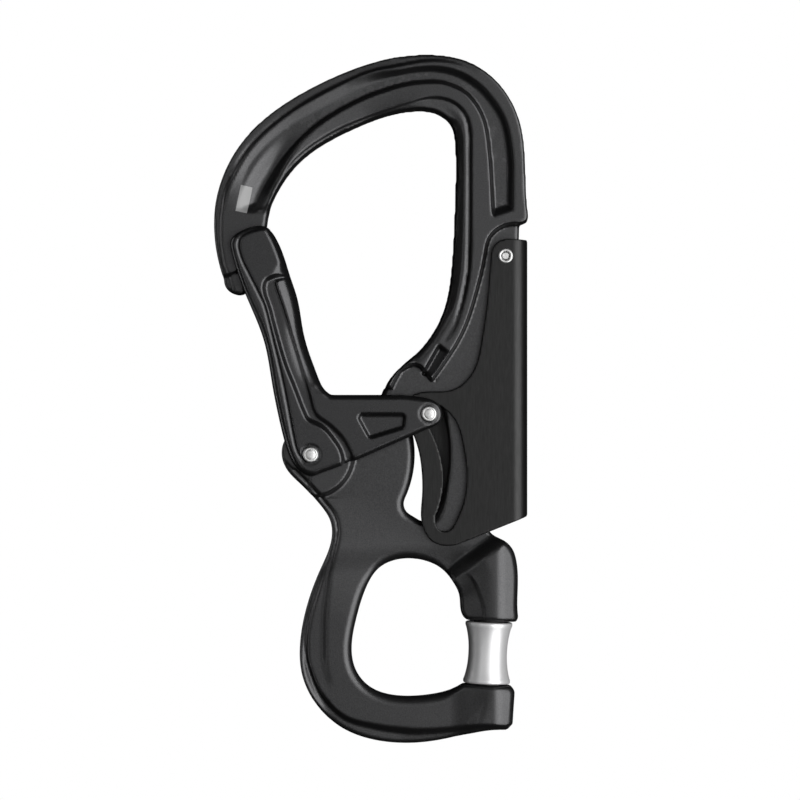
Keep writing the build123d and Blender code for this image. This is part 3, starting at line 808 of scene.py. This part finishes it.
def buildGrain():
    # blasted and anodised skin: fine grain that tints and dents
    group, start, end = newGroup(
        "anodisedGrain",
        [("Scale", "NodeSocketFloat", 4200.0), ("Depth", "NodeSocketFloat", 0.000012),
         ("Stretch", "NodeSocketFloat", 1.0)],
        [("Mask", "NodeSocketFloat"), ("Normal", "NodeSocketVector")])
    coords = addNode(group, "ShaderNodeTexCoord")
    stretch = addNode(group, "ShaderNodeCombineXYZ")
    stretch.inputs["X"].default_value = 1
    stretch.inputs["Y"].default_value = 1
    group.links.new(start.outputs["Stretch"], stretch.inputs["Z"])
    scaled = addNode(group, "ShaderNodeVectorMath", operation="MULTIPLY")
    group.links.new(coords.outputs["Object"], scaled.inputs[0])
    group.links.new(stretch.outputs[0], scaled.inputs[1])
    noise = addNode(group, "ShaderNodeTexNoise")
    noise.inputs["Detail"].default_value = 3
    noise.inputs["Roughness"].default_value = 0.65
    group.links.new(scaled.outputs[0], noise.inputs["Vector"])
    group.links.new(start.outputs["Scale"], noise.inputs["Scale"])
    bump = addNode(group, "ShaderNodeBump")
    bump.inputs["Strength"].default_value = 1
    group.links.new(start.outputs["Depth"], bump.inputs["Distance"])
    group.links.new(noise.outputs["Fac"], bump.inputs["Height"])
    group.links.new(noise.outputs["Fac"], end.inputs["Mask"])
    group.links.new(bump.outputs["Normal"], end.inputs["Normal"])
    return group


def buildEdgeWear():
    # edges where the finish is rubbed thin
    group, start, end = newGroup(
        "edgeWear",
        [("Start", "NodeSocketFloat", 0.53), ("Spread", "NodeSocketFloat", 0.08),
         ("Breakup", "NodeSocketFloat", 0.4)],
        [("Mask", "NodeSocketFloat")])
    shape = addNode(group, "ShaderNodeNewGeometry")
    coords = addNode(group, "ShaderNodeTexCoord")
    noise = addNode(group, "ShaderNodeTexNoise")
    noise.inputs["Scale"].default_value = 700
    noise.inputs["Detail"].default_value = 4
    group.links.new(coords.outputs["Object"], noise.inputs["Vector"])
    edge = mathNode(group, "SUBTRACT", shape.outputs["Pointiness"], start.outputs["Start"])
    edge = mathNode(group, "DIVIDE", edge, start.outputs["Spread"], clamp=True)
    patchy = mathNode(group, "MULTIPLY", noise.outputs["Fac"], start.outputs["Breakup"])
    group.links.new(mathNode(group, "SUBTRACT", edge, patchy, clamp=True), end.inputs["Mask"])
    return group


def buildHandling():
    # broad soft patches from handling, which change the gloss a little
    group, start, end = newGroup(
        "handlingMarks",
        [("Scale", "NodeSocketFloat", 60.0), ("Base", "NodeSocketFloat", 0.36),
         ("Spread", "NodeSocketFloat", 0.08)],
        [("Roughness", "NodeSocketFloat")])
    coords = addNode(group, "ShaderNodeTexCoord")
    noise = addNode(group, "ShaderNodeTexNoise")
    noise.inputs["Detail"].default_value = 5
    group.links.new(coords.outputs["Object"], noise.inputs["Vector"])
    group.links.new(start.outputs["Scale"], noise.inputs["Scale"])
    centred = mathNode(group, "SUBTRACT", noise.outputs["Fac"], 0.5)
    spread = mathNode(group, "MULTIPLY", centred, start.outputs["Spread"])
    gloss = mathNode(group, "ADD", spread, start.outputs["Base"], clamp=True)
    group.links.new(gloss, end.inputs["Roughness"])
    return group


grainGroup = buildGrain()
wearGroup = buildEdgeWear()
handlingGroup = buildHandling()


def useGroup(tree, group, **values):
    node = addNode(tree, "ShaderNodeGroup", node_tree=group)
    for label, value in values.items():
        node.inputs[label].default_value = value
    return node


def mixColours(tree, factor, a, b):
    mix = addNode(tree, "ShaderNodeMix", data_type="RGBA")
    for socket, value in ((mix.inputs[0], factor), (mix.inputs[6], a), (mix.inputs[7], b)):
        if isinstance(value, bpy.types.NodeSocket):
            tree.links.new(value, socket)
        elif isinstance(value, (int, float)):
            socket.default_value = value
        else:
            socket.default_value = (*value, 1)
    return mix.outputs[2]


finishes = {
    "blackForging": {"dark": (0.036, 0.036, 0.037), "light": (0.100, 0.100, 0.102), "worn": (0.3, 0.3, 0.3),
                     "metallic": 0.9, "roughness": 0.35, "spread": 0.12, "grain": 3000, "depth": 0.000020,
                     "stretch": 1, "wear": 0.10},
    "blackGate": {"dark": (0.030, 0.030, 0.031), "light": (0.084, 0.084, 0.086), "worn": (0.3, 0.3, 0.3),
                  "metallic": 0.9, "roughness": 0.28, "spread": 0.10, "grain": 3400, "depth": 0.000018,
                  "stretch": 1, "wear": 0.10},
    "blackLever": {"dark": (0.019, 0.019, 0.019), "light": (0.042, 0.042, 0.042), "worn": (0.2, 0.2, 0.2),
                   "metallic": 0.85, "roughness": 0.38, "spread": 0.08, "grain": 2600, "depth": 0.000010,
                   "stretch": 0.1, "wear": 0.06},
    "pinSteel": {"dark": (0.55, 0.55, 0.55), "light": (0.86, 0.86, 0.85), "worn": (0.9, 0.9, 0.9),
                 "metallic": 1, "roughness": 0.46, "spread": 0.2, "grain": 2200, "depth": 0.00002,
                 "stretch": 1, "wear": 0.3},
    "turnedAluminium": {"dark": (0.66, 0.66, 0.67), "light": (0.88, 0.88, 0.88), "worn": (0.95, 0.95, 0.95),
                        "metallic": 0.5, "roughness": 0.42, "spread": 0.12, "grain": 2500, "depth": 0.000008,
                        "stretch": 6, "wear": 0.2},
    "bearingBronze": {"dark": (0.42, 0.26, 0.12), "light": (0.62, 0.42, 0.2), "worn": (0.8, 0.6, 0.35),
                      "metallic": 1, "roughness": 0.35, "spread": 0.15, "grain": 3000, "depth": 0.00001,
                      "stretch": 1, "wear": 0.2},
    "springSteel": {"dark": (0.28, 0.28, 0.29), "light": (0.45, 0.45, 0.46), "worn": (0.7, 0.7, 0.7),
                    "metallic": 1, "roughness": 0.3, "spread": 0.12, "grain": 3000, "depth": 0.00001,
                    "stretch": 1, "wear": 0.2},
    "nylon": {"dark": (0.02, 0.02, 0.02), "light": (0.035, 0.035, 0.035), "worn": (0.06, 0.06, 0.06),
              "metallic": 0, "roughness": 0.5, "spread": 0.1, "grain": 1800, "depth": 0.00001,
              "stretch": 1, "wear": 0.1},
}

dataPatch = {
    "centre": (-46.35, -15.75), "half": (1.45, 3.3), "lean": 12, "colour": (0.30, 0.30, 0.30),
    "cover": 0.9, "lessMetal": -0.8,
}


def patchMask(tree):
    # a plain etched patch on the recess floor, front face only
    v = dataPatch
    coords = addNode(tree, "ShaderNodeTexCoord")
    placed = addNode(tree, "ShaderNodeMapping", vector_type="TEXTURE")
    placed.inputs["Location"].default_value = (v["centre"][0] * mm, 0, v["centre"][1] * mm)
    placed.inputs["Rotation"].default_value = (0, math.radians(v["lean"]), 0)
    placed.inputs["Scale"].default_value = (v["half"][0] * mm, 1, v["half"][1] * mm)
    tree.links.new(coords.outputs["Object"], placed.inputs["Vector"])
    parts = addNode(tree, "ShaderNodeSeparateXYZ")
    tree.links.new(placed.outputs[0], parts.inputs[0])
    across = mathNode(tree, "LESS_THAN", mathNode(tree, "ABSOLUTE", parts.outputs["X"]), 1.0)
    down = mathNode(tree, "LESS_THAN", mathNode(tree, "ABSOLUTE", parts.outputs["Z"]), 1.0)
    front = mathNode(tree, "LESS_THAN", parts.outputs["Y"], -0.001)
    return mathNode(tree, "MULTIPLY", mathNode(tree, "MULTIPLY", across, down), front)


def buildFinish(name, etched=False):
    v = finishes[name]
    material = bpy.data.materials.new(name)
    material.use_nodes = True
    tree = material.node_tree
    shader = tree.nodes["Principled BSDF"]
    grain = useGroup(tree, grainGroup, Scale=v["grain"], Depth=v["depth"], Stretch=v["stretch"])
    wear = useGroup(tree, wearGroup)
    marks = useGroup(tree, handlingGroup, Base=v["roughness"], Spread=v["spread"])
    colour = mixColours(tree, grain.outputs["Mask"], v["dark"], v["light"])
    rubbed = mathNode(tree, "MULTIPLY", wear.outputs["Mask"], v["wear"])
    colour = mixColours(tree, rubbed, colour, v["worn"])
    if etched:
        mask = patchMask(tree)
        cover = mathNode(tree, "MULTIPLY", mask, dataPatch["cover"])
        colour = mixColours(tree, cover, colour, dataPatch["colour"])
        metal = mathNode(tree, "MULTIPLY_ADD", mask, dataPatch["lessMetal"])
        metal.node.inputs[2].default_value = v["metallic"]
        tree.links.new(metal, shader.inputs["Metallic"])
    else:
        shader.inputs["Metallic"].default_value = v["metallic"]
    tree.links.new(colour, shader.inputs["Base Color"])
    tree.links.new(marks.outputs["Roughness"], shader.inputs["Roughness"])
    tree.links.new(grain.outputs["Normal"], shader.inputs["Normal"])
    return material


print("finishes")
materials = {name: buildFinish(name) for name in finishes}
materials["etchedForging"] = buildFinish("blackForging", etched=True)
materials["etchedForging"].name = "etchedForging"


def dress(piece, material, body=None, nodes=()):
    piece.data.materials.clear()
    piece.data.materials.append(materials[material])
    if body:
        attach(piece, body)
        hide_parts(*nodes)
    return piece


print("frame, gate and lever")
dress(frameSkin(), "etchedForging", "frame", ["hook_frame"])
dress(gateSkin(), "blackGate", "gate", ["gate"])
dress(leverSkin(), "blackLever", "lever", ["palm_lever"])

print("rivets and spool")
gateRivet = rivetSkin("gate_rivet", "gate_pivot_pin", rivets["gateShank"])
dress(gateRivet, "pinSteel", "gate", ["gate_pivot_pin"])
stud = rivetSkin("follower_stud", "follower_pin", rivets["studShank"], False)
dress(stud, "pinSteel", "gate", ["follower_pin"])
leverRivet = tubeRivetSkin("lever_rivet", "lever_rivet_tube")
dress(leverRivet, "pinSteel", "lever", ["lever_rivet_tube"])
dress(spoolSkin(), "turnedAluminium", "spool", ["spool"])


# The springs: a torsion coil round the gate's pivot, and a coil in the lever spring's place on the frame

springs = {
    "gateRadius": 3.3, "gateWire": 0.35, "gatePitch": 0.85, "gateTurns": 3, "legUp": 8.0, "legDown": 2.6,
    "leverRadius": 1.2, "leverWire": 0.2, "leverTurns": 9, "leverKeep": 0.66,
    # how far from the coil a leg begins, and the steps in a turn of each spring
    "lead": 0.6, "gateSteps": 28, "leverSteps": 24,
}


def wireMesh(name, path, across, radius, sides=10):
    # a round wire along a path; across is never in line with it
    path = np.array(path)
    along = np.gradient(path, axis=0)
    along /= np.linalg.norm(along, axis=1)[:, None]
    first = np.cross(along, np.array(across, float))
    first /= np.linalg.norm(first, axis=1)[:, None]
    second = np.cross(along, first)
    turn = 2 * np.pi * np.arange(sides) / sides
    ring = np.cos(turn)[:, None, None] * first + np.sin(turn)[:, None, None] * second
    points = (path + radius * ring).transpose(1, 0, 2).reshape(-1, 3)
    quads = []
    for step in range(len(path) - 1):
        for k in range(sides):
            a, b = step * sides + k, step * sides + (k + 1) % sides
            quads.append((a, b, b + sides, a + sides))
    last = len(points) - sides
    quads.append(tuple(range(sides))[::-1])
    quads.append(tuple(range(last, last + sides)))
    mesh = bpy.data.meshes.new(name)
    mesh.from_pydata((points * mm).tolist(), [], quads)
    mesh.shade_smooth()
    piece = bpy.data.objects.new(name, mesh)
    bpy.context.scene.collection.objects.link(piece)
    return piece


def gateSpring():
    v = springs
    x0, z0 = hookFrame["bossAt"]
    half = v["gatePitch"] * v["gateTurns"] / 2
    turn = np.linspace(0, 2 * np.pi * v["gateTurns"], v["gateSteps"] * v["gateTurns"] + 1)
    y = np.linspace(-half, half, len(turn))
    radius = v["gateRadius"]
    wound = np.stack([x0 - radius * np.cos(turn), y, z0 + radius * np.sin(turn)], axis=1)
    start = [(x0 - radius, -half, z0 - v["legDown"]), (x0 - radius, -half, z0 - v["lead"])]
    end = [(x0 - radius, half, z0 + v["lead"]), (x0 - radius, half, z0 + v["legUp"])]
    piece = wireMesh("gate_torsion_spring", np.concatenate([start, wound, end]), (0, 1, 0), v["gateWire"])
    dress(piece, "springSteel")
    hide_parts("gate_spring")
    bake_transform(piece)


def leverSpring():
    v = springs
    low, high = [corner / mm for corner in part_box("lever_spring")]
    turn = np.linspace(0, 2 * np.pi * v["leverTurns"], v["leverSteps"] * v["leverTurns"] + 1)
    x = np.linspace(low.x + v["leverWire"], high.x - v["leverWire"], len(turn))
    y = v["leverRadius"] * np.cos(turn)
    z = (low.z + high.z) / 2 + v["leverRadius"] * np.sin(turn)
    piece = wireMesh("lever_coil_spring", np.stack([x, y, z], axis=1), (1, 0, 0), v["leverWire"], 8)
    dress(piece, "springSteel", "frame", nodes=["lever_spring"])
    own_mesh(piece)


print("springs")
gateSpring()
leverSpring()

# construction nodes that stay as they are
keptNodes = {
    "bearingBronze": ["gate_bush_front", "gate_bush_rear", "lever_bush"],
    "springSteel": ["follower_roller"],
    "nylon": ["gate_washer_front", "gate_washer_rear", "lever_washer_front", "lever_washer_rear",
              "spool_sleeve", "spool_washer_upper", "spool_washer_lower"],
    "pinSteel": ["lever_rivet_core", "eye_bar"],
}
for material, names in keptNodes.items():
    for name in names:
        dress(frame["nodes"][name], material)


# Camera, floor, backdrop and lights

studio = {
    "middle": (-0.0075, 0, -0.06575), "shown": 0.2, "lens": 150, "sensor": 36,
    "floorBelow": 0.5, "floorReach": 1.5, "backdropAway": 0.9, "backdropUp": 2.2, "halfWidth": 2.2,
    "bend": 0.25, "white": 1.0, "bounce": 0.008,
}


def buildCamera():
    v = studio
    data = bpy.data.cameras.new("camera")
    data.lens = v["lens"]
    data.sensor_width = v["sensor"]
    away = v["shown"] * v["lens"] / v["sensor"]
    data.clip_start, data.clip_end = 0.01, 20
    camera = bpy.data.objects.new("camera", data)
    camera.location = (v["middle"][0], -away, v["middle"][2])
    camera.rotation_euler = (math.radians(90), 0, 0)
    bpy.context.scene.collection.objects.link(camera)
    bpy.context.scene.camera = camera


def cameraWhite(tree):
    # white to the camera, but dim to what it mirrors in, as a cove behind dark flags is
    path = addNode(tree, "ShaderNodeLightPath")
    span = studio["white"] - studio["bounce"]
    strength = mathNode(tree, "MULTIPLY_ADD", path.outputs["Is Camera Ray"], span)
    strength.node.inputs[2].default_value = studio["bounce"]
    return strength


def paleMaterial(name):
    material = bpy.data.materials.new(name)
    material.use_nodes = True
    tree = material.node_tree
    tree.nodes.clear()
    output = addNode(tree, "ShaderNodeOutputMaterial")
    glow = addNode(tree, "ShaderNodeEmission")
    tree.links.new(cameraWhite(tree), glow.inputs["Strength"])
    tree.links.new(glow.outputs[0], output.inputs["Surface"])
    return material


def buildStage():
    # a floor that curves up into a backdrop
    v = studio
    low = cadLow.z - v["floorBelow"]
    bend = v["bend"]
    outline = [(-v["floorReach"], low), (v["backdropAway"] - bend, low)]
    outline += arcRun(v["backdropAway"] - bend, low + bend, bend, -90, 0, 12)
    outline += [(v["backdropAway"], low + v["backdropUp"])]
    points = [(side * v["halfWidth"], y, z) for y, z in outline for side in (-1, 1)]
    faces = [(2 * i, 2 * i + 1, 2 * i + 3, 2 * i + 2) for i in range(len(outline) - 1)]
    mesh = bpy.data.meshes.new("floor")
    mesh.from_pydata(points, [], faces)
    mesh.shade_smooth()
    mesh.materials.append(paleMaterial("paleFloor"))
    floor = bpy.data.objects.new("floor", mesh)
    bpy.context.scene.collection.objects.link(floor)


softBoxes = {
    # name: place, width, height, power
    "keyRight": ((0.52, -0.54, -0.14), 0.70, 1.2, 9.0),
    "rimLeft": ((-0.70, 0.02, 0.0), 0.12, 0.9, 1.0),
    "frontFill": ((0.10, -1.2, 0.0), 0.8, 0.8, 1.3),
    "sideFill": ((-0.42, -0.62, 0.05), 0.12, 0.8, 0.5),
    "backFill": ((-0.15, 1.2, 0.0), 0.8, 0.8, 1.8),
}


def buildLights():
    target = Vector(studio["middle"])
    for name, (place, width, height, power) in softBoxes.items():
        data = bpy.data.lights.new(name, "AREA")
        data.shape = "RECTANGLE"
        data.size, data.size_y = width, height
        data.energy = power
        light = bpy.data.objects.new(name, data)
        light.location = place
        light.rotation_euler = (target - Vector(place)).to_track_quat("-Z", "Y").to_euler()
        bpy.context.scene.collection.objects.link(light)
    world = bpy.data.worlds.new("studio")
    world.use_nodes = True
    tree = world.node_tree
    back = tree.nodes["Background"]
    back.inputs["Color"].default_value = (1, 1, 1, 1)
    tree.links.new(cameraWhite(tree), back.inputs["Strength"])
    bpy.context.scene.world = world
    bpy.context.scene.view_settings.view_transform = "Standard"


print("studio")
buildCamera()
buildStage()
buildLights()
